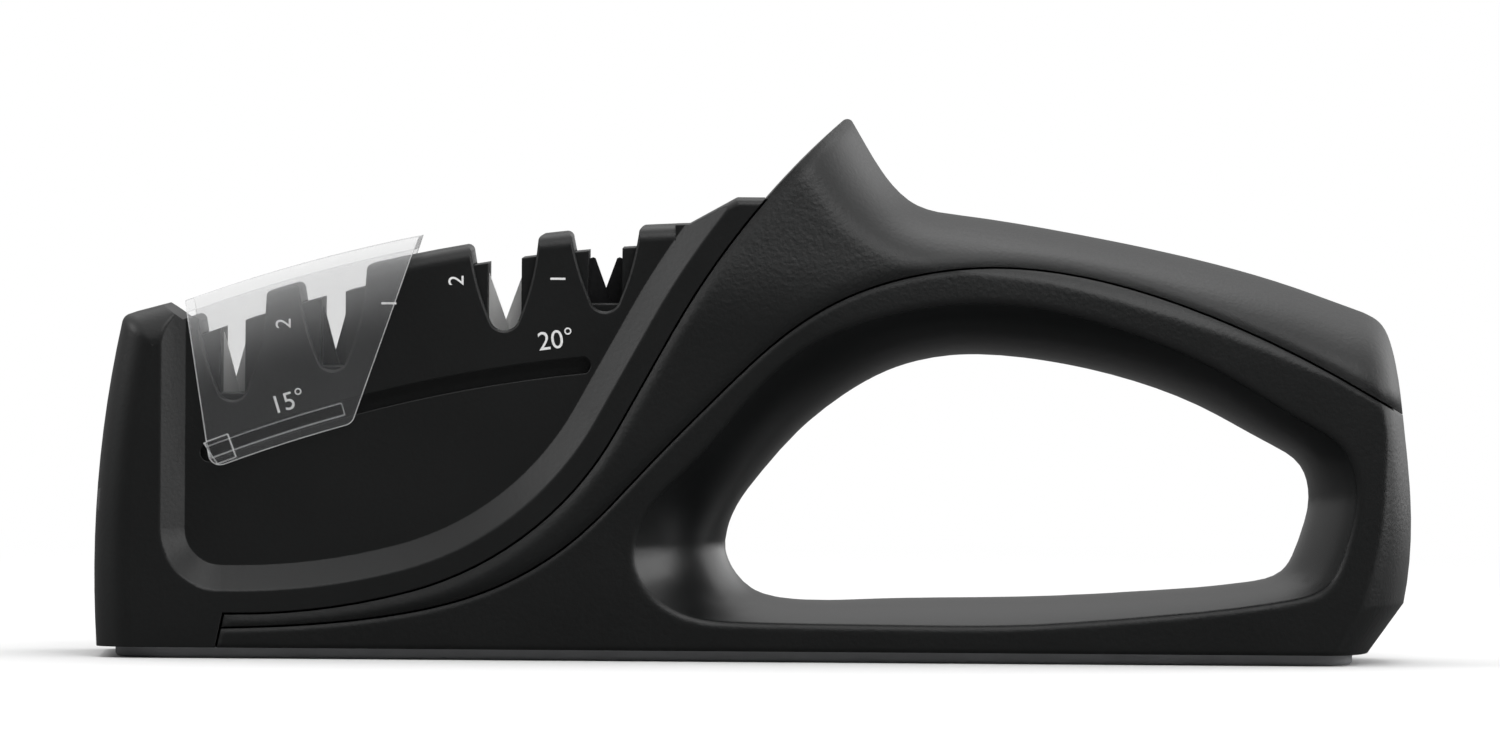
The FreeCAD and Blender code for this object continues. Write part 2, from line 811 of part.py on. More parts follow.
def make_slide_cover():
    body = new_body("slide_cover")
    inner_half = panel_half_width + size("cover_side_gap")
    outer_half = inner_half + size("cover_wall")
    roof = size("saddle_radius") + size("cover_top_gap")
    top = roof + size("cover_wall")
    bottom = size("cover_bottom_radius")
    shell = new_sketch(body, "CoverSide")
    draw_outline(shell, [
        on_path(bottom, size("cover_bottom_left_angle")),
        on_path(bottom, size("cover_bottom_right_angle")),
        on_path(top, size("cover_top_right_angle")),
        on_path(top, size("cover_top_left_angle")),
    ], {0: (bottom, -1), 2: (top, 1)})
    pad(body, "CoverBlock", shell, outer_half * 2, symmetric=True)

    def on_roof_edge(edge):
        return edge.BoundBox.YLength < touch and lies_on_arc(edge, top)

    def on_foot_corner(edge):
        return edge.BoundBox.YLength > outer_half.value and lies_on_arc(edge, bottom)

    round_edges(body, "CoverRoofEdges", on_roof_edge, size("cover_edge_round"))
    round_edges(body, "CoverFeet", on_foot_corner, size("cover_foot_round"))

    hollow = new_sketch(body, "CoverHollow")
    margin = size("cover_travel")
    left = size("cover_bottom_left_angle") + margin
    right = size("cover_top_right_angle") - margin
    floor = bottom - size("cover_edge_round")
    draw_outline(hollow, [
        on_path(floor, left),
        on_path(floor, right),
        on_path(roof, right),
        on_path(roof, left),
    ], {0: (floor, -1), 2: (roof, 1)})
    pocket(body, "CoverHollowCut", hollow, inner_half * 2, symmetric=True)

    def on_inner_roof(edge):
        return edge.BoundBox.YLength < touch and lies_on_arc(edge, roof)

    round_edges(body, "CoverInnerEdges", on_inner_roof, size("cover_inner_round"))

    rib_low = size("slot_radius") - size("rib_width") / 2
    rib_high = size("slot_radius") + size("rib_width") / 2
    for hand, sign in (("Near", 1), ("Far", -1)):
        rib = new_sketch(body, f"CoverRib{hand}", lift=inner_half * sign)
        draw_outline(rib, [
            on_path(rib_low, size("rib_left_angle")),
            on_path(rib_low, size("rib_right_angle")),
            on_path(rib_high, size("rib_right_angle")),
            on_path(rib_high, size("rib_left_angle")),
        ], {0: (rib_low, -1), 2: (rib_high, 1)})
        pad(body, f"CoverRibPad{hand}", rib, size("rib_reach"), backward=sign > 0)

    # Raised thumb pad in the lower corner of each side wall, square to the sliding arc.
    pad_low = bottom + size("cover_pad_edge")
    pad_high = pad_low + size("cover_pad_height")
    edge_turn = size("cover_pad_edge") / bottom * (180 / math.pi)
    pad_turn = size("cover_pad_width") / bottom * (180 / math.pi)
    pad_left = size("cover_bottom_left_angle") - edge_turn
    pad_right = pad_left - pad_turn
    for hand, sign in (("Near", 1), ("Far", -1)):
        thumb = new_sketch(body, f"CoverThumb{hand}", lift=outer_half * sign)
        draw_outline(thumb, [
            on_path(pad_low, pad_left - edge_turn * 2),
            on_path(pad_low, pad_right),
            on_path(pad_high, pad_right),
            on_path(pad_high, pad_left),
        ], {0: (pad_low, -1), 2: (pad_high, 1)})
        pad(body, f"CoverThumbPad{hand}", thumb, size("cover_pad_lift"), backward=sign < 0)
    return body


# Rubber pad under the foot

def make_base_pad():
    body = new_body("base_pad")
    sketch = new_sketch(body, "PadOutline", plane="XY_Plane")
    front = size("pad_front_x")
    back = size("pad_back_x")
    half = half_width - size("pad_inset")
    corner = size("pad_corner")
    draw_outline(sketch, [
        (front + corner, -half),
        (back - corner, -half),
        (back, corner - half),
        (back, half - corner),
        (back - corner, half),
        (front + corner, half),
        (front, half - corner),
        (front, corner - half),
    ], {1: (corner, 1), 3: (corner, 1), 5: (corner, 1), 7: (corner, 1)})
    pad(body, "PadBlock", sketch, size("foot_height"))

    def under_rim(edge):
        return edge.BoundBox.ZMax < touch

    round_edges(body, "PadRim", under_rim, size("pad_edge_round"))
    return body


# Handle: grip cover and frame are cut from one crowned block

# Each row is a point of the middle outline and the point of the side face's outline that it rolls down to,
# as shares of half the length and of the height.
handle_outline_shares = [
    (0.029, 1.219, -0.084, 1.046),
    (0.089, 1.106, -0.019, 0.972),
    (0.149, 0.993, 0.046, 0.898),
    (0.196, 0.900, 0.098, 0.815),
    (0.242, 0.848, 0.165, 0.752),
    (0.313, 0.828, 0.262, 0.712),
    (0.450, 0.803, 0.418, 0.689),
    (0.632, 0.760, 0.602, 0.628),
    (0.816, 0.700, 0.778, 0.548),
    (0.907, 0.661, 0.872, 0.503),
    (0.952, 0.632, 0.926, 0.480),
    (0.969, 0.586, 0.946, 0.440),
    (0.987, 0.452, 0.948, 0.362),
    (1.000, 0.273, 0.935, 0.250),
    (0.990, 0.113, 0.900, 0.109),
]
handle_foot_shares = (0.936, 0.860)
handle_front_share = -0.880

# The block is made a little too wide and too deep, then trimmed to its flat sides and underside.
block_spare_share = 1.01
foot_spare_share = 1.4

# Hand opening at the middle, and the edge of its flared rim on the side faces.
opening_shares = [
    (-0.044, 0.219, -0.186, 0.211),
    (-0.027, 0.284, -0.160, 0.292),
    (0.006, 0.341, -0.102, 0.366),
    (0.065, 0.423, -0.019, 0.483),
    (0.133, 0.491, 0.074, 0.588),
    (0.201, 0.538, 0.171, 0.639),
    (0.296, 0.567, 0.287, 0.668),
    (0.406, 0.564, 0.407, 0.667),
    (0.537, 0.535, 0.546, 0.627),
    (0.680, 0.474, 0.704, 0.547),
    (0.782, 0.408, 0.832, 0.455),
    (0.831, 0.366, 0.896, 0.398),
    (0.844, 0.307, 0.913, 0.324),
    (0.829, 0.227, 0.900, 0.223),
    (0.804, 0.170, 0.870, 0.148),
    (0.750, 0.148, 0.806, 0.119),
    (0.591, 0.130, 0.611, 0.089),
    (0.407, 0.118, 0.407, 0.070),
    (0.185, 0.112, 0.167, 0.069),
    (0.056, 0.111, -0.028, 0.072),
    (-0.004, 0.131, -0.111, 0.086),
    (-0.035, 0.173, -0.167, 0.135),
]

# How many of those rows, from the front, bound the hollow that runs over the opening.
opening_top_rows = 12

# Seam between the grip cover and the frame below it.
grip_seam_shares = [
    (-0.880, 0.0570),
    (-0.682, 0.0656),
    (-0.546, 0.0847),
    (-0.411, 0.1270),
    (-0.277, 0.2220),
    (-0.165, 0.3600),
    (-0.055, 0.4975),
    (0.042, 0.6066),
    (0.133, 0.6760),
    (0.227, 0.7155),
    (0.365, 0.7355),
    (0.502, 0.7175),
    (0.684, 0.6502),
    (0.865, 0.5482),
    (0.956, 0.4853),
    (1.093, 0.3850),
]

# Where the frame's rib behind that seam starts and ends, as shares of half the length.
seam_rib_shares = (0.040, 0.920)

# Steps across the width, as angles round the crown and as shares of the half width for the rim.
crown_steps = [0, 18, 36, 54, 72, 90]
rim_step_shares = [0, 0.3, 0.55, 0.8, 1.06]


def number(alias):
    return size(alias).value


def placed(x_share, z_share):
    return Vector(x_share * number("body_length") / 2, 0, z_share * number("body_height"))


def blend(first, second, share):
    return first + (second - first) * share


def across_at(point, y):
    return Vector(point.x, y, point.z)


def spline(points, closed=False):
    curve = Part.BSplineCurve()
    curve.interpolate(Points=points, PeriodicFlag=closed)
    return curve.toShape()


def shifted(points, distance):
    # The row of points moved sideways, to the right of its way for a positive distance.
    moved = []
    last = len(points) - 1
    for place, point in enumerate(points):
        before = points[max(place - 1, 0)]
        after = points[min(place + 1, last)]
        way = (after - before).normalize()
        moved.append(point + Vector(way.z, 0, -way.x) * distance)
    return moved


def crown(step):
    # Share of the half width, and how far the outline has rolled from the middle to the side.
    turn = math.radians(step)
    power = 2 / number("crown_power")
    return math.sin(turn) ** power, 1 - math.cos(turn) ** power


def crowned_block(inset):
    # The whole handle block, its outline rolling down to flat sides; inset gives its inner form.
    length = number("body_length")
    middle = shifted([placed(row[0], row[1]) for row in handle_outline_shares], inset)
    side = shifted([placed(row[2], row[3]) for row in handle_outline_shares], inset)
    half = half_width.value - inset
    base = number("foot_height") + inset
    front = handle_front_share * length / 2
    middle_foot, side_foot = [
        Vector(share * length / 2 - inset, 0, base) for share in handle_foot_shares
    ]
    steps = [-step for step in reversed(crown_steps[1:])] + crown_steps
    wires = []
    for step in steps:
        width_share, roll = crown(abs(step))
        y = math.copysign(width_share, step) * half * block_spare_share
        row = [across_at(blend(a, b, roll), y) for a, b in zip(middle, side)]
        foot = across_at(blend(middle_foot, side_foot, roll), y)
        foot = blend(row[-1], foot, foot_spare_share)
        toe = Vector(front, y, foot.z)
        edges = [
            spline(row),
            Part.LineSegment(row[-1], foot).toShape(),
            Part.LineSegment(foot, toe).toShape(),
            Part.LineSegment(toe, row[0]).toShape(),
        ]
        wires.append(Part.Wire(edges))
    room = Part.makeBox(length * 2, half * 2, length, Vector(-length, -half, base))
    return Part.makeLoft(wires, True, False).common(room)


def opening_block():
    # What the hand opening removes, flaring to the rim's edge at both sides.
    middle = [placed(row[0], row[1]) for row in opening_shares]
    rim = [placed(row[2], row[3]) for row in opening_shares]
    steps = [-step for step in reversed(rim_step_shares[1:])] + rim_step_shares
    wires = []
    for step in steps:
        roll = abs(step) ** number("rim_power")
        y = step * half_width.value
        row = [across_at(blend(a, b, roll), y) for a, b in zip(middle, rim)]
        wires.append(Part.Wire([spline(row, closed=True)]))
    return Part.makeLoft(wires, True, False)


def curtain(edges, corners, reach):
    # Solid over a region of the side view: joined edges, closed through the corners. Reach is its span in Y.
    path = Part.Wire(edges)
    ends = path.OrderedVertexes
    loop = [ends[-1].Point] + corners + [ends[0].Point]
    closing = [Part.LineSegment(a, b).toShape() for a, b in zip(loop, loop[1:])]
    face = Part.Face(Part.Wire(path.OrderedEdges + closing))
    low, high = reach
    face.translate(Vector(0, low, 0))
    return face.extrude(Vector(0, high - low, 0))


def whole_width():
    return -number("body_width"), number("body_width")


def groove_strips():
    # Spans in Y of the visible seam grooves, one along each side.
    width = number("body_width")
    depth = half_width.value - number("seam_depth")
    return [(-width, -depth), (depth, width)]


def upright(point):
    x, z = point
    return Vector(x.value, 0, z.value)


def upright_arc(start, end, radius, side):
    # Arc in the side view, drawn as in the sketches and stood up.
    flat = arc_through(Vector(start.x, start.z, 0), Vector(end.x, end.z, 0), radius, side)
    middle = flat.value((flat.FirstParameter + flat.LastParameter) / 2)
    return Part.Arc(start, Vector(middle.x, 0, middle.y), end).toShape()


def head_side(offset, reach):
    # Everything on the head's side of the seam, carried on along the front of the hand guard.
    start, first, second, third = [upright(point) for point in sweep_points(offset)]
    tip = upright(guard_point(offset, size("guard_end_angle")))
    gap = offset.value - seam_offset.value
    heel_top = Vector(number("head_heel_x") + number("head_heel_lean") + gap, 0, start.z)
    heel = Vector(number("head_heel_x") + gap, 0, number("foot_height"))
    far = number("body_length")
    edges = [
        Part.LineSegment(heel, heel_top).toShape(),
        Part.LineSegment(heel_top, start).toShape(),
        upright_arc(start, first, number("sweep_low_radius") + offset.value, 1),
        upright_arc(first, second, number("sweep_high_radius") + offset.value, 1),
        Part.LineSegment(second, third).toShape(),
        upright_arc(third, tip, number("guard_radius") - offset.value, -1),
    ]
    corners = [
        Vector(tip.x, 0, far),
        Vector(-far, 0, far),
        Vector(-far, 0, -far),
        Vector(heel.x, 0, -far),
    ]
    return curtain(edges, corners, reach)


def above_grip_seam(drop, reach):
    # Everything above the grip seam, lowered by drop.
    row = shifted([placed(x, z) for x, z in grip_seam_shares], drop)
    far = number("body_length")
    return curtain([spline(row)], [Vector(row[-1].x, 0, far), Vector(row[0].x, 0, far)], reach)


def seam_rib():
    # Rib along the frame's top, inside the grip cover, so that nothing shows through the seam.
    half = number("seam_rib_width") / 2
    reach = (-half, half)
    raised = above_grip_seam(-number("seam_rib_height"), reach)
    band = above_grip_seam(number("seam_fit"), reach).cut(raised)
    length = number("body_length")
    start, end = [share * length / 2 for share in seam_rib_shares]
    return band.common(Part.makeBox(end - start, length, length, Vector(start, -length / 2, 0)))


def cut_from_head(shape):
    # Close fit behind the head casing, with an open groove where the seam shows, up to the head's crest.
    shape = shape.cut(head_side(seam_offset + size("seam_fit"), whole_width()))
    far = number("body_length")
    crest = guard_point(seam_offset, size("crest_angle"))[1].value
    below_crest = Part.makeBox(far * 2, far * 2, far + crest, Vector(-far, -far, -far))
    for strip in groove_strips():
        shape = shape.cut(head_side(seam_offset + size("seam_gap"), strip).common(below_crest))
    return shape


def rounded_tip(shape):
    # Rounds the point of the hand guard, where the side view's front arc meets the handle's outline.
    outline = spline([placed(row[0], row[1]) for row in handle_outline_shares]).Curve
    offset = seam_offset + size("seam_fit")
    foot = upright(sweep_points(offset)[3])
    end = upright(guard_point(offset, size("guard_end_angle")))
    front = upright_arc(foot, end, number("guard_radius") - offset.value, -1).Curve
    meetings = [Vector(point.X, 0, point.Z) for point in front.intersect(outline)]
    tip = min(meetings, key=end.distanceToPoint)
    spoke = tip - front.Center
    down_front = Vector(-spoke.z, 0, spoke.x).normalize()
    down_back = outline.tangent(outline.parameter(tip))[0]
    half_turn = down_front.getAngle(down_back) / 2
    inward = (down_front + down_back).normalize()
    radius = number("guard_tip_round")
    run = radius / math.tan(half_turn)
    low, high = whole_width()
    corner = [tip + down_front * run, tip - inward * radius, tip + down_back * run]
    face = Part.Face(Part.makePolygon(corner + corner[:1]))
    face.translate(Vector(0, low, 0))
    spare = face.extrude(Vector(0, high - low, 0))
    center = across_at(tip + inward * (radius / math.sin(half_turn)), low)
    return shape.cut(spare.cut(Part.makeCylinder(radius, high - low, center, Vector(0, 1, 0))))


def upright_cylinder(diameter, x, y, bottom, top):
    return Part.makeCylinder(diameter / 2, top - bottom, Vector(x, y, bottom))


def seam_height(x):
    # Height of the grip seam over the place x.
    row = [placed(a, b) for a, b in grip_seam_shares]
    for left, right in zip(row, row[1:]):
        if left.x <= x <= right.x:
            return left.z + (right.z - left.z) * (x - left.x) / (right.x - left.x)
    raise ValueError("the place lies past the seam")


def screw_places(kind):
    x = number(f"{kind}_screw_x")
    y = {"head": head_screw_y, "grip": grip_screw_y}[kind].value
    return [(x, -y), (x, y)]


def grip_screw_seat():
    # Height of the step that the grip screws' heads press against.
    return seam_height(number("grip_screw_x")) - number("screw_length") / 2


def make_grip_cover(block, inner):
    above = above_grip_seam(0, whole_width())
    tall = number("body_height")
    hollow = inner.common(above).cut(head_side(seam_offset + size("wall"), whole_width()))
    for x, y in screw_places("grip"):
        hollow = hollow.cut(upright_cylinder(number("screw_post_diameter"), x, y, 0, tall))
    shape = cut_from_head(block.common(above)).cut(hollow)
    bore = number("screw_diameter") + number("fit_gap")
    for x, y in screw_places("grip"):
        shape = shape.cut(upright_cylinder(bore, x, y, 0, grip_screw_seat() + number("screw_length")))
    for x, y in screw_places("head"):
        shape = shape.cut(upright_cylinder(bore + number("seam_gap"), x, y, 0, tall))
    return rounded_tip(shape)


def frame_channel():
    # Hollow of the frame under the grip cover: in front of the hand opening and over its top.
    half = number("frame_channel_width") / 2
    wall = number("wall")
    roll = (half / half_width.value) ** number("rim_power")
    rows = opening_shares[:opening_top_rows]
    rim = [blend(placed(row[0], row[1]), placed(row[2], row[3]), roll) for row in rows]
    rim = shifted(rim, -wall)
    floor = number("foot_height") + wall
    far = number("body_length")
    corners = [
        Vector(rim[-1].x, 0, far),
        Vector(number("frame_channel_x"), 0, far),
        Vector(number("frame_channel_x"), 0, floor),
        Vector(rim[0].x, 0, floor),
    ]
    channel = curtain([spline(rim)], corners, (-half, half))
    return channel.cut(head_side(seam_offset + size("wall"), whole_width()))


def rounded_rim(shape):
    # Softens the crease between the flat sides and the flared rim of the hand opening.
    side = half_width.value
    rim = [placed(row[2], row[3]) for row in opening_shares]
    front = min(point.x for point in rim)
    back = max(point.x for point in rim)

    def on_rim(edge):
        box = edge.BoundBox
        flat = box.YLength < touch and abs(abs(box.Center.y) - side) < touch
        inside = abs(box.XMin - front) < number("wall") and abs(box.XMax - back) < number("wall")
        return flat and inside

    creases = [edge for edge in shape.Edges if on_rim(edge)]
    return shape.makeFillet(number("rim_edge_round"), creases)


def make_handle_frame(block):
    gap = number("seam_gap")
    wall = number("wall")
    foot = number("foot_height")
    tall = number("body_height")
    channel = frame_channel()
    for x, y in screw_places("grip"):
        post = number("screw_post_diameter") + wall
        channel = channel.cut(upright_cylinder(post, x, y, 0, tall))
    above = above_grip_seam(number("seam_fit"), whole_width()).cut(seam_rib())
    shape = block.cut(opening_block()).cut(above)
    for strip in groove_strips():
        shape = shape.cut(above_grip_seam(gap, strip))
    shape = cut_from_head(shape).cut(channel)
    shape = rounded_rim(shape)

    # The tongue closes the nose of the head casing from below.
    tongue_front = number("nose_foot_x") + wall + gap
    tongue_half = cavity_half_width.value - gap
    tongue = Part.makeBox(
        number("tongue_length"),
        tongue_half * 2,
        number("tongue_height"),
        Vector(tongue_front, -tongue_half, foot + number("fit_gap")),
    )
    shape = shape.fuse(tongue)

    bore = number("screw_diameter") + gap
    sink = number("screw_head_diameter") + gap * 2
    for x, y in screw_places("grip"):
        shape = shape.cut(upright_cylinder(bore, x, y, 0, tall))
        shape = shape.cut(upright_cylinder(sink, x, y, 0, grip_screw_seat()))
    for x, y in screw_places("head"):
        shape = shape.cut(upright_cylinder(bore, x, y, 0, tall))
        shape = shape.cut(upright_cylinder(sink, x, y, 0, foot + number("screw_head_height") + gap))
    return shape


# Screws

def screw(length):
    # Pan-head screw standing on its head, with the thread's nominal size as its shank.
    head = Part.makeCylinder(number("screw_head_diameter") / 2, number("screw_head_height"))
    rim = [edge for edge in head.Edges if edge.BoundBox.ZMax < number("fit_gap")]
    head = head.makeFillet(number("screw_head_height") / 3, rim)
    shank_radius = number("screw_diameter") / 2
    shank = Part.makeCylinder(shank_radius, length - shank_radius, Vector(0, 0, number("screw_head_height")))
    tip = Part.makeCone(shank_radius, shank_radius / 3, shank_radius)
    tip.translate(Vector(0, 0, number("screw_head_height") + length - shank_radius))
    return head.fuse([shank, tip]).removeSplitter()


def screw_group(places, length, lean=0):
    group = []
    for place in places:
        piece = screw(length)
        piece.Placement = Placement(place, Rotation(Vector(0, 1, 0), -lean))
        group.append(piece)
    return Part.makeCompound(group)


def make_screws():
    foot = number("foot_height")
    gap = number("fit_gap")
    head = number("screw_head_height")
    seat = grip_screw_seat() - head
    start = upright(on_path(size("cartridge_bottom_radius") + size("fit_gap") / 2, size("land_angle")))
    across = cartridge_screw_y.value
    holders = [across_at(start, y) for y in (-across, across)]
    casing = [Vector(x, y, foot + gap) for x, y in screw_places("head")]
    grip = [Vector(x, y, seat) for x, y in screw_places("grip")]
    length = number("screw_length")
    return {
        "cartridge_screws": screw_group(holders, number("cartridge_screw_length"), number("land_angle")),
        "head_screws": screw_group(casing, number("head_screw_length")),
        "grip_screws": screw_group(grip, length),
    }


def add_shape(label, shape):
    feature = doc.addObject("Part::Feature", label)
    feature.Label = label
    feature.Shape = shape
    feature.Placement = Placement()
    return feature


pieces = [make_head_casing()]
for hand in ("near", "far"):
    pieces.append(make_cartridge_half(hand))
    for station in STATIONS:
        pieces.append(make_plate(station, hand))
pieces.append(make_slide_cover())
pieces.append(make_base_pad())
handle_block = crowned_block(0)
handle_inner = crowned_block(number("wall"))
pieces.append(add_shape("grip_cover", make_grip_cover(handle_block, handle_inner)))
pieces.append(add_shape("handle_frame", make_handle_frame(handle_block)))
for label, shape in make_screws().items():
    pieces.append(add_shape(label, shape))

doc.recompute()
for item in doc.Objects:
    if "Invalid" in item.State or "Error" in item.State:
        raise RuntimeError(f"{item.Label} did not build")
for piece in pieces:
    solids = len(piece.Shape.Solids)
    print(piece.Label, round(piece.Shape.Volume), "mm3 in", solids, "solids")
    if piece.Shape.isNull() or not piece.Shape.isValid():
        raise RuntimeError(f"{piece.Label} has no valid shape")

os.makedirs("parts", exist_ok=True)
for piece in pieces:
    piece.Shape.exportStep(f"parts/{piece.Label}.step")
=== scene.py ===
import bpy
import math
from mathutils import Matrix, Vector


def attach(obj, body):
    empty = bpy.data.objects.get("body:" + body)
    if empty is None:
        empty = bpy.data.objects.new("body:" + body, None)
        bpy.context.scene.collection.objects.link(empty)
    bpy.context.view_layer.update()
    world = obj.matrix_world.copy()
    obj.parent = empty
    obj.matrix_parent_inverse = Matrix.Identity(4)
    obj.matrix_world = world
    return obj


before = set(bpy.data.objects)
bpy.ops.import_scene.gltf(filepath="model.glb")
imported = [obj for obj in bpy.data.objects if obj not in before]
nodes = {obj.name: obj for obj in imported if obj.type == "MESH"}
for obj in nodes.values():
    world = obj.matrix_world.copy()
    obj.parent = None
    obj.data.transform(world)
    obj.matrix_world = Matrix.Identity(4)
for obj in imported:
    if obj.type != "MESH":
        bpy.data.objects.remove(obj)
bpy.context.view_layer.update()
print("frame loaded,", len(nodes), "CAD nodes")

mm = 0.001


# Shader helpers: a socket that can be used in sums and products

class Signal:
    def __init__(self, tree, socket=None):
        self.tree = tree
        self.socket = socket

    def node(self, kind, settings, inputs, out=0):
        made = self.tree.nodes.new(kind)
        for name, value in settings.items():
            setattr(made, name, value)
        for name, value in inputs.items():
            if isinstance(value, Signal):
                self.tree.links.new(value.socket, made.inputs[name])
            else:
                made.inputs[name].default_value = value
        return Signal(self.tree, made.outputs[out])

    def beside(self, output):
        # Another output of the node that this socket belongs to
        return Signal(self.tree, self.socket.node.outputs[output])

    def calc(self, operation, first, second=0.0):
        return self.node("ShaderNodeMath", {"operation": operation}, {0: first, 1: second})

    def __add__(self, other):
        return self.calc("ADD", self, other)

    __radd__ = __add__

    def __sub__(self, other):
        return self.calc("SUBTRACT", self, other)

    def __rsub__(self, other):
        return self.calc("SUBTRACT", other, self)

    def __mul__(self, other):
        return self.calc("MULTIPLY", self, other)

    __rmul__ = __mul__

    def __truediv__(self, other):
        return self.calc("DIVIDE", self, other)

    def size(self):
        return self.calc("ABSOLUTE", self)

    def least(self, other):
        return self.calc("MINIMUM", self, other)

    def most(self, other):
        return self.calc("MAXIMUM", self, other)

    def rise(self, low, high):
        # 0 below low, 1 above high, smooth between
        settings = {"interpolation_type": "SMOOTHSTEP"}
        return self.node("ShaderNodeMapRange", settings, {"Value": self, "From Min": low, "From Max": high})


def newFinish(name, constants):
    material = bpy.data.materials.new(name)
    material.use_nodes = True
    shader = material.node_tree.nodes["Principled BSDF"]
    for socket, value in constants.items():
        shader.inputs[socket].default_value = value
    return material, shader, Signal(material.node_tree)


def feed(shader, socket, signal):
    signal.tree.links.new(signal.socket, shader.inputs[socket])


def place(pen):
    return pen.node("ShaderNodeTexCoord", {}, {}, "Object")


def axesOf(pen, where):
    split = pen.node("ShaderNodeSeparateXYZ", {}, {0: where})
    return [split.beside(axis) for axis in "XYZ"]


def distance(pen, across, up):
    return pen.calc("SQRT", across * across + up * up)


def between(share, low, high):
    return low + share * (high - low)


def speckle(pen, where, size, detail=2.0):
    # Noise whose lumps are about this many metres across
    return pen.node("ShaderNodeTexNoise", {}, {"Vector": where, "Scale": 1 / size, "Detail": detail})


def cells(pen, where, size):
    return pen.node("ShaderNodeTexVoronoi", {"feature": "SMOOTH_F1"}, {"Vector": where, "Scale": 1 / size})


def tint(pen, share, dark, light):
    # 6 and 7 are the colour inputs of a Mix node, 2 its colour output
    sockets = {"Factor": share, 6: dark, 7: light}
    return pen.node("ShaderNodeMix", {"data_type": "RGBA"}, sockets, 2)


def softEdges(pen, radius):
    # Moulded edges are never quite sharp and catch a thin line of light
    return pen.node("ShaderNodeBevel", {"samples": 6}, {"Radius": radius})


def bump(pen, height, depth, strength, under=None):
    sockets = {"Height": height, "Distance": depth, "Strength": strength}
    if under:
        sockets["Normal"] = under
    return pen.node("ShaderNodeBump", {}, sockets)


# Moulded black plastic of the casing, grip, frame and plate holders

plastic = {
    "dark": (0.0034, 0.0038, 0.0039),
    "light": (0.0058, 0.0063, 0.0064),
    "patchSize": 22 * mm,
    "patchShare": 0.6,
    "grainSize": 0.6 * mm,
    "grainDepth": 0.1 * mm,
    "cellSize": 0.9 * mm,
    "cellShare": 0.5,
    "roughLow": 0.36,
    "roughHigh": 0.46,
}
# Smooth glossy walls of the hand opening
rim = {
    "rough": 0.27,
    "grainLost": 0.85,
    "halfWidth": 22 * mm,
    "fade": 0.5 * mm,
    # Half planes round the hand opening: x part, z part, how far out
    "planes": [
        (-1, 0, 22 * mm),
        (0.970, -0.243, 90.1 * mm),
        (0.47, 0.883, 78.5 * mm),
        (0, 1, 60.5 * mm),
        (-0.72, 0.694, 31.5 * mm),
    ],
}
# Curved guide slot of the sliding cover
slot = {
    "centre": (-3 * mm, -189 * mm),
    "radius": 238.5 * mm,
    "halfWidth": 1.7 * mm,
    "mouth": 18.7 * mm,
    "fade": 0.3 * mm,
    "rough": 0.08,
}
# The handle's sides roll gently away, upwards and rearwards of the hand opening
crown = {
    "centre": (30 * mm, 29.5 * mm),
    "halfSpan": (60 * mm, 24 * mm),
    "full": 0.5,
    "fall": 5 * mm,
}


def fromSlotCentre(pen, x, z):
    return distance(pen, x - slot["centre"][0], z - slot["centre"][1])


def insideSlot(pen, x, y, z):
    aside = (fromSlotCentre(pen, x, z) - slot["radius"]).size()
    within = (slot["halfWidth"] - aside).rise(0, slot["fade"])
    return within.least((slot["mouth"] - y.size()).rise(0, slot["fade"]))


def insideRim(x, y, z):
    inside = (rim["halfWidth"] - y.size()).rise(0, rim["fade"])
    for outX, outZ, reach in rim["planes"]:
        inside = inside.least((reach - x * outX - z * outZ).rise(0, rim["fade"]))
    return inside


def crownedSide(pen, x, z):
    across = (x - crown["centre"][0]).most(0) / crown["halfSpan"][0]
    up = (z - crown["centre"][1]).most(0) / crown["halfSpan"][1]
    beyond = (distance(pen, across, up) - 1).most(0)
    held = beyond.least(crown["full"])
    return held * (beyond * 2 - held) * -crown["fall"]


def mouldedPlastic(name, lift, grainStrength, edgeRound, crowned=False, rimmed=False, slotted=False):
    material, shader, pen = newFinish(name, {"IOR": 1.46})
    where = place(pen)
    x, y, z = axesOf(pen, where)
    grain = speckle(pen, where, plastic["grainSize"])
    pits = cells(pen, where, plastic["cellSize"])
    patches = speckle(pen, where, plastic["patchSize"], 3.0)
    dark = [shade * lift for shade in plastic["dark"]] + [1]
    light = [shade * lift for shade in plastic["light"]] + [1]
    mottle = patches * plastic["patchShare"] + grain * (1 - plastic["patchShare"])
    feed(shader, "Base Color", tint(pen, mottle, dark, light))
    rough = between(patches, plastic["roughLow"], plastic["roughHigh"])
    strength = grainStrength
    if slotted:
        # The guide slot is smooth and open to the dark inside of the head
        within = insideSlot(pen, x, y, z)
        rough = between(within, rough, slot["rough"])
        strength = strength * (1 - within)
    if rimmed:
        inside = insideRim(x, y, z)
        rough = between(inside, rough, rim["rough"])
        strength = strength * (1 - inside * rim["grainLost"])
    feed(shader, "Roughness", rough)
    surface = softEdges(pen, edgeRound)
    if crowned:
        surface = bump(pen, crownedSide(pen, x, z), 1.0, 1.0, surface)
    height = grain + pits * plastic["cellShare"]
    feed(shader, "Normal", bump(pen, height, plastic["grainDepth"], strength, surface))
    return material


casingPlastic = mouldedPlastic("casingPlastic", 1.0, 0.2, 0.3 * mm, slotted=True)
gripPlastic = mouldedPlastic("gripPlastic", 1.05, 0.55, 4 * mm, crowned=True)
framePlastic = mouldedPlastic("framePlastic", 1.0, 0.45, 1.4 * mm, crowned=True, rimmed=True)
holderPlastic = mouldedPlastic("holderPlastic", 1.3, 0.3, 0.3 * mm)

# Rubber of the foot

rubber = {
    "dark": (0.14, 0.143, 0.147, 1),
    "light": (0.21, 0.214, 0.219, 1),
    "dustSize": 7 * mm,
    "dustShare": 0.7,
    "grainSize": 0.3 * mm,
    "grainDepth": 0.04 * mm,
    "grainStrength": 0.4,
    "roughLow": 0.72,
    "roughHigh": 0.92,
}


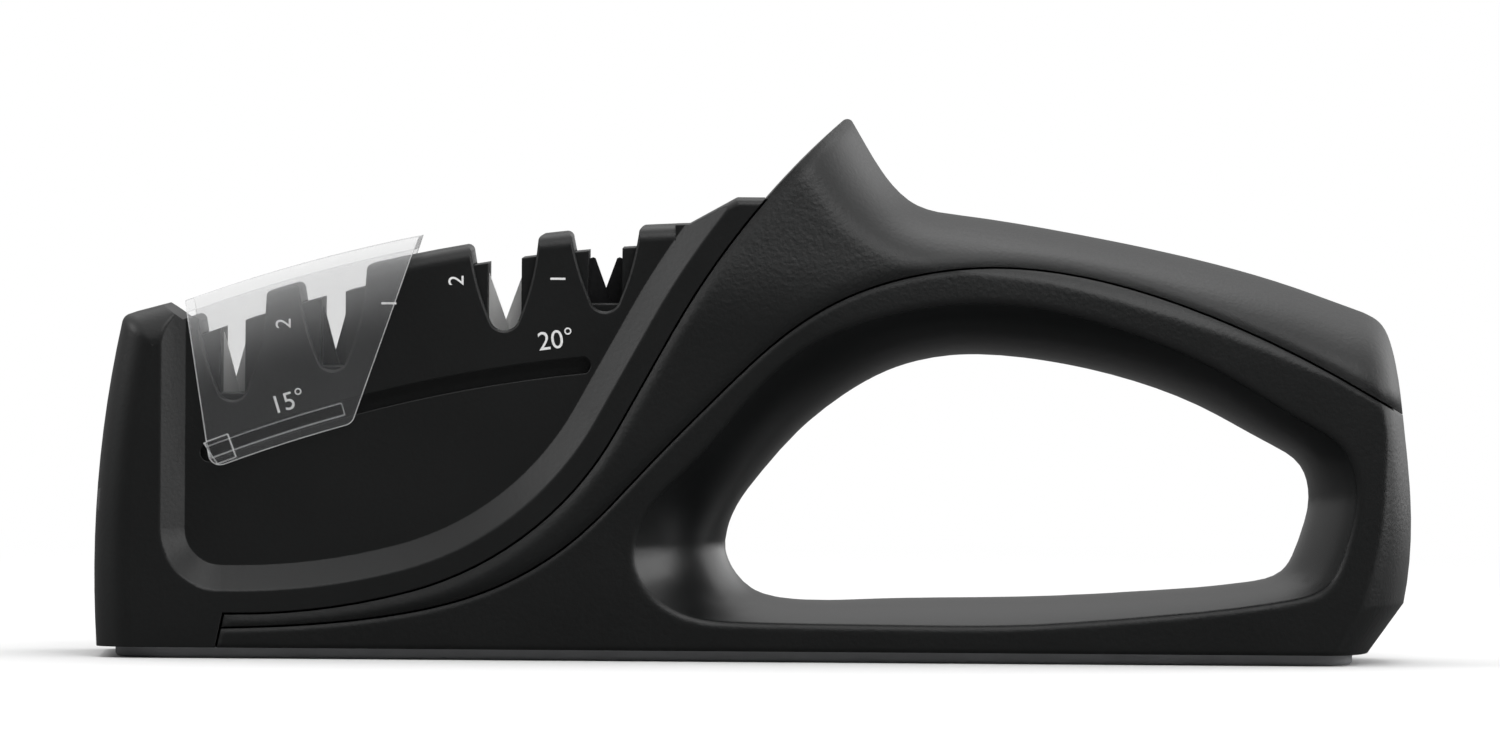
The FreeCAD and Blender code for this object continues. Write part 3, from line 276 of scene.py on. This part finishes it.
def footRubber():
    material, shader, pen = newFinish("footRubber", {"IOR": 1.4, "Specular IOR Level": 0.35})
    where = place(pen)
    grain = speckle(pen, where, rubber["grainSize"], 3.0)
    dust = speckle(pen, where, rubber["dustSize"], 4.0)
    mottle = dust * rubber["dustShare"] + grain * (1 - rubber["dustShare"])
    feed(shader, "Base Color", tint(pen, mottle, rubber["dark"], rubber["light"]))
    feed(shader, "Roughness", between(grain, rubber["roughLow"], rubber["roughHigh"]))
    feed(shader, "Normal", bump(pen, grain, rubber["grainDepth"], rubber["grainStrength"]))
    return material


# Clear cover, a little hazy, with smudges; painted light whitens it towards the roof, along its edges and
# on faces seen at a low angle

clear = {
    "face": (0.18, 0.184, 0.188, 1),
    # White of the painted highlights, painted reflection and painted roof light, and of the smudges
    "edge": (0.95, 0.955, 0.96, 1),
    "faceAlpha": 0.09,
    "edgeAlpha": 0.7,
    "edgeStart": 0.06,
    "edgeFull": 0.27,
    "edgeRound": 0.55 * mm,
    "mirrorBlend": 0.33,
    "mirrorStart": 0.2,
    "mirrorFull": 0.85,
    # How far from the slot's centre the painted light towards the roof sets in
    "hazeStart": 247 * mm,
    "roofLightFull": 262 * mm,
    "roofLightShare": 0.6,
    "roofLightAlpha": 0.15,
    "smudgeSize": 9 * mm,
    "smudgeShare": 0.08,
    "roughLow": 0.1,
    "roughHigh": 0.2,
    "waveSize": 0.5 * mm,
    "waveDepth": 0.01 * mm,
    "waveStrength": 0.1,
}


def clearPlastic():
    material, shader, pen = newFinish("clearPlastic", {"IOR": 1.49})
    where = place(pen)
    x, y, z = axesOf(pen, where)
    smudge = speckle(pen, where, clear["smudgeSize"], 4.0)
    waves = speckle(pen, where, clear["waveSize"])
    rounded = softEdges(pen, clear["edgeRound"])
    # Painted highlight: whiter and less see-through where the softened normal leaves the flat one, along
    # every edge
    flat = pen.node("ShaderNodeNewGeometry", {}, {}, "True Normal")
    agree = pen.node("ShaderNodeVectorMath", {"operation": "DOT_PRODUCT"}, {0: rounded, 1: flat}, "Value")
    edge = (1 - agree.size()).rise(clear["edgeStart"], clear["edgeFull"])
    # Painted reflection: outer faces seen at a low angle turn whiter and less see-through
    paintedMirror = pen.node("ShaderNodeLayerWeight", {}, {"Blend": clear["mirrorBlend"]}, "Fresnel")
    outside = 1 - flat.beside("Backfacing")
    edge = edge.most(paintedMirror.rise(clear["mirrorStart"], clear["mirrorFull"]) * outside)
    # Painted light: whiter and less see-through towards the roof, as if lit from above
    haze = fromSlotCentre(pen, x, z).rise(clear["hazeStart"], clear["roofLightFull"]) * clear["roofLightShare"]
    # Painted light and real smudges share one white
    paintedGlowAndSmudge = edge.most(haze + smudge * clear["smudgeShare"])
    feed(shader, "Base Color", tint(pen, paintedGlowAndSmudge, clear["face"], clear["edge"]))
    faceAlpha = clear["faceAlpha"] + haze * clear["roofLightAlpha"]
    feed(shader, "Alpha", between(edge, faceAlpha, clear["edgeAlpha"]))
    feed(shader, "Roughness", between(smudge, clear["roughLow"], clear["roughHigh"]))
    feed(shader, "Normal", bump(pen, waves, clear["waveDepth"], clear["waveStrength"], rounded))
    return material


# Sharpening plates, screws and printing ink

fired = {
    "dark": (0.85, 0.85, 0.84, 1),
    "light": (0.96, 0.96, 0.95, 1),
    "gritSize": 0.25 * mm,
    "gritDepth": 0.03 * mm,
    "gritStrength": 0.4,
    "stainSize": 3 * mm,
    "stainShare": 0.5,
    "roughLow": 0.55,
    "roughHigh": 0.8,
}


def firedStone():
    material, shader, pen = newFinish("firedStone", {"IOR": 1.6})
    where = place(pen)
    grit = speckle(pen, where, fired["gritSize"], 3.0)
    stain = speckle(pen, where, fired["stainSize"], 3.0)
    mottle = grit * (1 - fired["stainShare"]) + stain * fired["stainShare"]
    feed(shader, "Base Color", tint(pen, mottle, fired["dark"], fired["light"]))
    feed(shader, "Roughness", between(grit, fired["roughLow"], fired["roughHigh"]))
    feed(shader, "Normal", bump(pen, grit, fired["gritDepth"], fired["gritStrength"]))
    return material


ground = {
    "dark": (0.018, 0.018, 0.019, 1),
    "light": (0.04, 0.04, 0.042, 1),
    "lineSize": 0.8 * mm,
    "lineSqueeze": (1, 12, 1),
    "lineDepth": 0.02 * mm,
    "lineStrength": 0.3,
    "roughLow": 0.35,
    "roughHigh": 0.6,
}


def groundCarbide():
    material, shader, pen = newFinish("groundCarbide", {"Metallic": 0.7})
    squeezed = pen.node("ShaderNodeMapping", {}, {"Vector": place(pen), "Scale": ground["lineSqueeze"]})
    lines = speckle(pen, squeezed, ground["lineSize"], 3.0)
    feed(shader, "Base Color", tint(pen, lines, ground["dark"], ground["light"]))
    feed(shader, "Roughness", between(lines, ground["roughLow"], ground["roughHigh"]))
    feed(shader, "Normal", bump(pen, lines, ground["lineDepth"], ground["lineStrength"]))
    return material


plated = {
    "dark": (0.42, 0.42, 0.43, 1),
    "light": (0.6, 0.6, 0.61, 1),
    "spotSize": 0.4 * mm,
    "roughLow": 0.25,
    "roughHigh": 0.45,
}
inked = {
    "dark": (0.55, 0.55, 0.55, 1),
    "light": (0.86, 0.86, 0.86, 1),
    "spotSize": 0.35 * mm,
    "roughLow": 0.5,
    "roughHigh": 0.7,
}


def spottedFinish(name, constants, look):
    material, shader, pen = newFinish(name, constants)
    spots = speckle(pen, place(pen), look["spotSize"], 4.0)
    feed(shader, "Base Color", tint(pen, spots, look["dark"], look["light"]))
    feed(shader, "Roughness", between(spots, look["roughLow"], look["roughHigh"]))
    return material


stone = firedStone()
carbide = groundCarbide()
steel = spottedFinish("platedSteel", {"Metallic": 1.0}, plated)
ink = spottedFinish("whiteInk", {"IOR": 1.45}, inked)
finishes = {
    "head_casing": casingPlastic,
    "grip_cover": gripPlastic,
    "handle_frame": framePlastic,
    "cartridge_near": holderPlastic,
    "cartridge_far": holderPlastic,
    "base_pad": footRubber(),
    "slide_cover": clearPlastic(),
    "cartridge_screws": steel,
    "head_screws": steel,
    "grip_screws": steel,
}
for name, piece in nodes.items():
    # What is left are the sharpening plates
    finish = finishes.get(name) or (stone if "fine" in name else carbide)
    piece.data.materials.clear()
    piece.data.materials.append(finish)
print("finishes set on the CAD nodes")

# Printed numbers on both sides of the head

prints = {
    "panelY": 19 * mm,
    "thick": 0.03 * mm,
    "sunk": 0.02 * mm,
    "capShare": 0.7,
    "curveSteps": 6,
    "upended": 90,
    # Number, cap height, centre x and z, tilt in degrees
    "marks": {
        "angleStandard": ("20°", 3.0 * mm, -32.6 * mm, 52.4 * mm, 8),
        "angleAsian": ("15°", 2.9 * mm, -76.2 * mm, 42.0 * mm, 17),
        "stepStandardFine": ("2", 2.5 * mm, -48.9 * mm, 61.8 * mm, 90),
        "stepStandardCoarse": ("1", 2.5 * mm, -32.3 * mm, 62.2 * mm, 90),
        "stepAsianFine": ("2", 2.5 * mm, -77.0 * mm, 54.6 * mm, 90),
        "stepAsianCoarse": ("1", 2.5 * mm, -59.8 * mm, 58.0 * mm, 90),
    },
}


def turned(degrees, axis):
    return Matrix.Rotation(math.radians(degrees), 4, axis)


def printMark(label, number, height, x, z, tilt, far):
    bpy.ops.object.select_all(action="DESELECT")
    bpy.ops.object.text_add()
    mark = bpy.context.object
    mark.name = label
    mark.data.body = number
    mark.data.align_x = "CENTER"
    mark.data.align_y = "CENTER"
    mark.data.size = height / prints["capShare"]
    mark.data.extrude = (prints["thick"] + prints["sunk"]) / 2
    mark.data.resolution_u = prints["curveSteps"]
    bpy.ops.object.convert(target="MESH")
    mark = bpy.context.object
    low = min(corner.co.y for corner in mark.data.vertices)
    high = max(corner.co.y for corner in mark.data.vertices)
    centred = Matrix.Translation((0, -(low + high) / 2, 0))
    depth = prints["panelY"] + (prints["thick"] - prints["sunk"]) / 2
    spot = Matrix.Translation((x, -depth, z))
    if far:
        # Round the back, level numbers follow the slope the other way
        spot = Matrix.Translation((x, depth, z)) @ turned(180, "Z")
        tilt = tilt if tilt == prints["upended"] else -tilt
    mark.data.transform(spot @ turned(90, "X") @ turned(tilt, "Z") @ centred)
    mark.data.materials.clear()
    mark.data.materials.append(ink)
    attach(mark, "sharpener")


for label, mark in prints["marks"].items():
    printMark(label + "Near", *mark, False)
    printMark(label + "Far", *mark, True)
print("numbers printed")

# Floor, light and camera

floor = {
    "size": 30.0,
    "colour": (0.78, 0.78, 0.78, 1),
    "nearby": 0.25,
    "faraway": 0.7,
    "mirrored": (0.12, 0.12, 0.12, 1),
}


def seenRays(pen):
    # 1 for what the camera sees, also through clear plastic
    path = pen.node("ShaderNodeLightPath", {}, {}, "Is Camera Ray")
    return path.most(path.beside("Is Transmission Ray"))


def mirroredRays(pen, seen):
    # 1 for what only shows in gloss
    return pen.node("ShaderNodeLightPath", {}, {}, "Is Glossy Ray") * (1 - seen)


def paleFloor():
    constants = {"Base Color": floor["colour"], "Roughness": 0.7, "Specular IOR Level": 0.0}
    material, shader, pen = newFinish("paleFloor", constants)
    tree = material.node_tree
    away = pen.node("ShaderNodeVectorMath", {"operation": "LENGTH"}, {0: place(pen)}, "Value")
    seen = seenRays(pen)
    white = pen.node("ShaderNodeEmission", {}, {"Strength": 1.0})
    dim = pen.node("ShaderNodeBsdfDiffuse", {}, {"Color": floor["mirrored"]})
    lit = Signal(tree, shader.outputs[0])
    far = away.rise(floor["nearby"], floor["faraway"])
    shown = pen.node("ShaderNodeMixShader", {}, {0: far * seen, 1: lit, 2: white})
    whole = pen.node("ShaderNodeMixShader", {}, {0: mirroredRays(pen, seen), 1: shown, 2: dim})
    feed(tree.nodes["Material Output"], "Surface", whole)
    return material


bpy.ops.object.select_all(action="DESELECT")
bpy.ops.mesh.primitive_plane_add(size=floor["size"])
floorPlane = bpy.context.object
floorPlane.name = "floor"
floorPlane.data.materials.append(paleFloor())

# Soft studio walls: how bright each is, and where it starts and is full
sky = {
    "base": 0.03,
    "top": 1.05,
    "topSpan": (0.2, 1.0),
    "back": 0.3,
    "backSpan": (0.2, 0.9),
    "right": 1.8,
    "rightSpan": (0.5, 1.05),
    "rightLean": 0.4,
    "left": 0.4,
    "leftSpan": (0.5, 0.95),
}


def studioWorld():
    world = bpy.data.worlds.new("studio")
    bpy.context.scene.world = world
    world.use_nodes = True
    pen = Signal(world.node_tree)
    background = world.node_tree.nodes["Background"]
    background.inputs["Color"].default_value = (1, 1, 1, 1)
    direction = pen.node("ShaderNodeTexCoord", {}, {}, "Generated")
    across, back, up = axesOf(pen, direction)
    glow = sky["base"] + up.rise(*sky["topSpan"]) * sky["top"]
    glow = glow + back.rise(*sky["backSpan"]) * sky["back"]
    glow = glow + (across + back * sky["rightLean"]).rise(*sky["rightSpan"]) * sky["right"]
    glow = glow + (0 - across).rise(*sky["leftSpan"]) * sky["left"]
    seen = seenRays(pen)
    feed(background, "Strength", seen + (1 - seen) * glow)


studioWorld()
lampAim = Vector((0, 0, 0.04))
lamps = {
    "front": {"size": 0.7, "power": 5.0, "at": (0.25, -0.85, 0.95)},
    "top": {"size": 0.8, "power": 2.5, "at": (0, 0.35, 1.0)},
    "right": {"size": 0.6, "power": 3.0, "at": (0.95, -0.2, 0.25)},
    "left": {"size": 0.5, "power": 2.5, "at": (-0.95, -0.15, 0.6)},
}
for label, lamp in lamps.items():
    data = bpy.data.lights.new(label, "AREA")
    data.size = lamp["size"]
    data.energy = lamp["power"]
    made = bpy.data.objects.new(label, data)
    bpy.context.scene.collection.objects.link(made)
    made.location = lamp["at"]
    made.rotation_euler = (lampAim - made.location).to_track_quat("-Z", "Y").to_euler()

photo = {
    "span": 246.2 * mm,
    "lookAt": (-0.9 * mm, 0, 47.0 * mm),
    "distance": 2.5,
    "elevation": 1.0,
    "roll": 0.43,
    "sensor": 36,
    "nearest": 0.05,
    "farthest": 50,
}
camera = bpy.data.objects.new("camera", bpy.data.cameras.new("camera"))
bpy.context.scene.collection.objects.link(camera)
bpy.context.scene.camera = camera
camera.data.sensor_width = photo["sensor"]
camera.data.lens = photo["sensor"] * photo["distance"] / photo["span"]
camera.data.clip_start = photo["nearest"]
camera.data.clip_end = photo["farthest"]
pitch = math.radians(photo["elevation"])
toCamera = Vector((0, -math.cos(pitch), math.sin(pitch)))
camera.location = Vector(photo["lookAt"]) + photo["distance"] * toCamera
camera.rotation_euler = (turned(90 - photo["elevation"], "X") @ turned(photo["roll"], "Z")).to_euler()
bpy.context.scene.view_settings.view_transform = "Standard"
print("floor, light and camera set")
